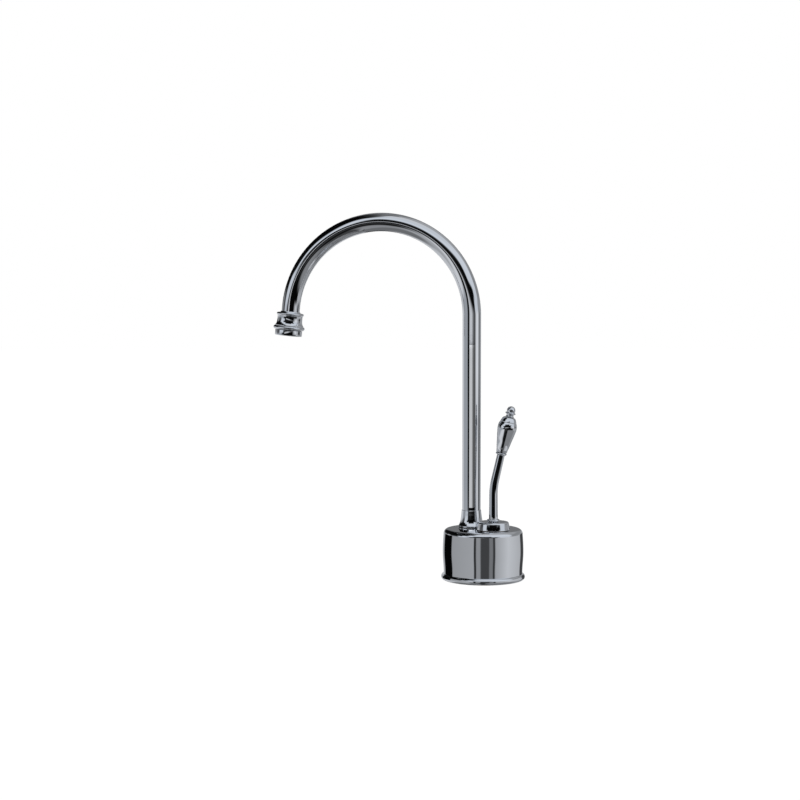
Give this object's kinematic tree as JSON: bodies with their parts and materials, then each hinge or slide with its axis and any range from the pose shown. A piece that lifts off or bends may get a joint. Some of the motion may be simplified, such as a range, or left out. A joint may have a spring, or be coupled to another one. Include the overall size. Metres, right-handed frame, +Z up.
{
  "type": "deck-mounted cold water dispenser tap",
  "caption": "Chromed tap for cold drinking water: round beaded base, swivelling gooseneck spout with a ringed nozzle, and a small curved quarter-turn lever with a teardrop grip.",
  "frame": {"origin": "on the base's own axis at the level of the deck's top, where the shank enters the hole", "axes": "+Z up, away from the deck; at rest the spout points along -X and the lever leans towards +X; +Y is the back"},
  "size_m": [0.1795, 0.0572, 0.3307],
  "materials": {
    "polished_chrome": "mirror polished",
    "bare_brass": "machined",
    "stainless_steel": "plain",
    "black_rubber": "matt",
    "white_acetal": "moulded",
    "disc_ceramic": "lapped"
  },
  "bodies": {
    "base": {"base_shell": "polished_chrome", "base_gasket": "black_rubber", "base_plate": "stainless_steel", "base_screw_front": "stainless_steel", "base_screw_rear": "stainless_steel", "valve_block": "bare_brass", "threaded_shank": "bare_brass", "deck_washer": "black_rubber", "brace_washer": "stainless_steel", "lock_washer": "stainless_steel", "mounting_nut": "bare_brass", "inlet_coupling": "bare_brass", "coupling_seal": "black_rubber", "compression_sleeve": "bare_brass", "compression_nut": "bare_brass", "cartridge_seal": "black_rubber", "cartridge_body": "bare_brass", "fixed_disc": "disc_ceramic", "cartridge_nut": "bare_brass", "spout_retainer": "bare_brass", "glide_ring": "white_acetal"},
    "spout": {"spout_tube": "polished_chrome", "spout_collar": "polished_chrome", "nozzle_body": "polished_chrome", "aerator_shell": "polished_chrome", "aerator_washer": "black_rubber", "aerator_screen": "stainless_steel", "flow_straightener": "white_acetal", "spout_tail": "bare_brass", "spout_oring_lower": "black_rubber", "spout_oring_upper": "black_rubber"},
    "lever": {"handle_hub": "polished_chrome", "hub_grub_screw": "stainless_steel", "lock_ring": "polished_chrome", "lever_stem": "polished_chrome", "grip_ferrule": "polished_chrome", "grip": "polished_chrome", "finial": "polished_chrome", "spindle": "bare_brass", "spindle_oring": "black_rubber", "spindle_clip": "stainless_steel", "moving_disc": "disc_ceramic"}
  },
  "joints": [
    {"name": "spout_swivel", "type": "hinge", "parent": "base", "child": "spout", "pos_m": [-0.00934, 0.00654, 0.0351], "axis": [0, 0, 1], "continuous": true},
    {"name": "lever_turn", "type": "hinge", "parent": "base", "child": "lever", "pos_m": [0.00803, -0.00562, 0.0351], "axis": [0, 0, -1], "range_deg": [0, 90]}
  ]
}
